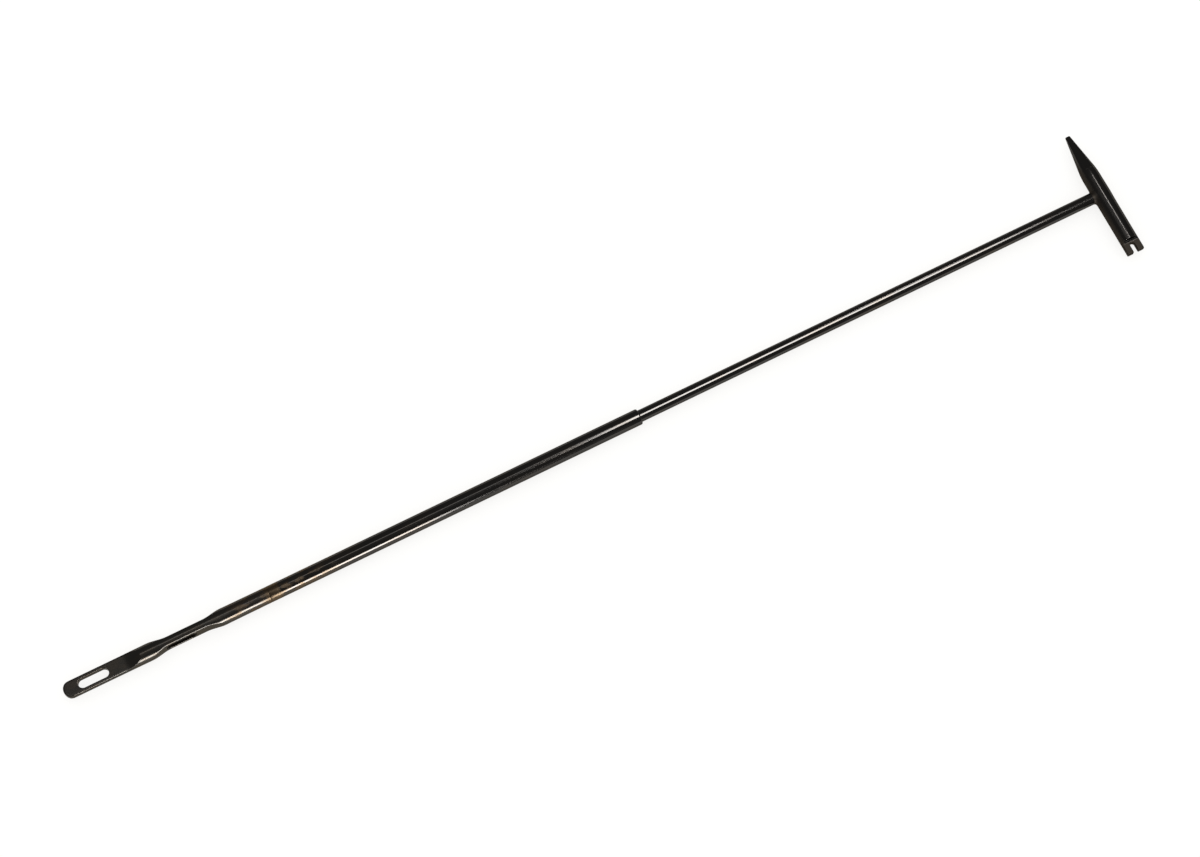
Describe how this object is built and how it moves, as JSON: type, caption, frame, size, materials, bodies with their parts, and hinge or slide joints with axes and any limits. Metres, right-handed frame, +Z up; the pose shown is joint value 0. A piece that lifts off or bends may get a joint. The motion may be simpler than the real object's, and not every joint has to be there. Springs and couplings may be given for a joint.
{
  "type": "telescopic eye-ended rod tool with t-head",
  "caption": "Slim blued steel rod tool: a sliding rod with a small blade-and-fork T-head telescopes in a tube whose flattened tip has eyes at right angles.",
  "frame": {"origin": "bottom centre of the whole tool as it lies flat with the rod drawn out", "axes": "+X from the eyed tip to the T-head along the tool's axis, +Y along the T-head from its fork to its blade, +Z up"},
  "size_m": [0.4886, 0.0596, 0.008],
  "materials": {
    "forged_tip": "worn blued forging, satin to gloss",
    "blued_tube": "gloss blued, brown wear at the tip end",
    "blued_rod": "gloss blued",
    "satin_bar": "dark satin",
    "collar_steel": "turned",
    "pin_steel": "ground",
    "spring_steel": "oil tempered"
  },
  "bodies": {
    "tube": {"outer_tube": "blued_tube", "eye_tip": "forged_tip"},
    "ring": {"friction_ring": "spring_steel"},
    "rod": {"inner_rod": "blued_rod", "cross_bar": "satin_bar", "stop_collar": "collar_steel", "collar_pin": "pin_steel"}
  },
  "joints": [
    {"name": "rod_slide", "type": "slide", "parent": "tube", "child": "ring", "axis": [-1, 0, 0], "range_m": [0, 0.1475]},
    {"name": "rod_swivel", "type": "hinge", "parent": "ring", "child": "rod", "pos_m": [0.007, 0, 0.004], "axis": [1, 0, 0], "continuous": true}
  ]
}
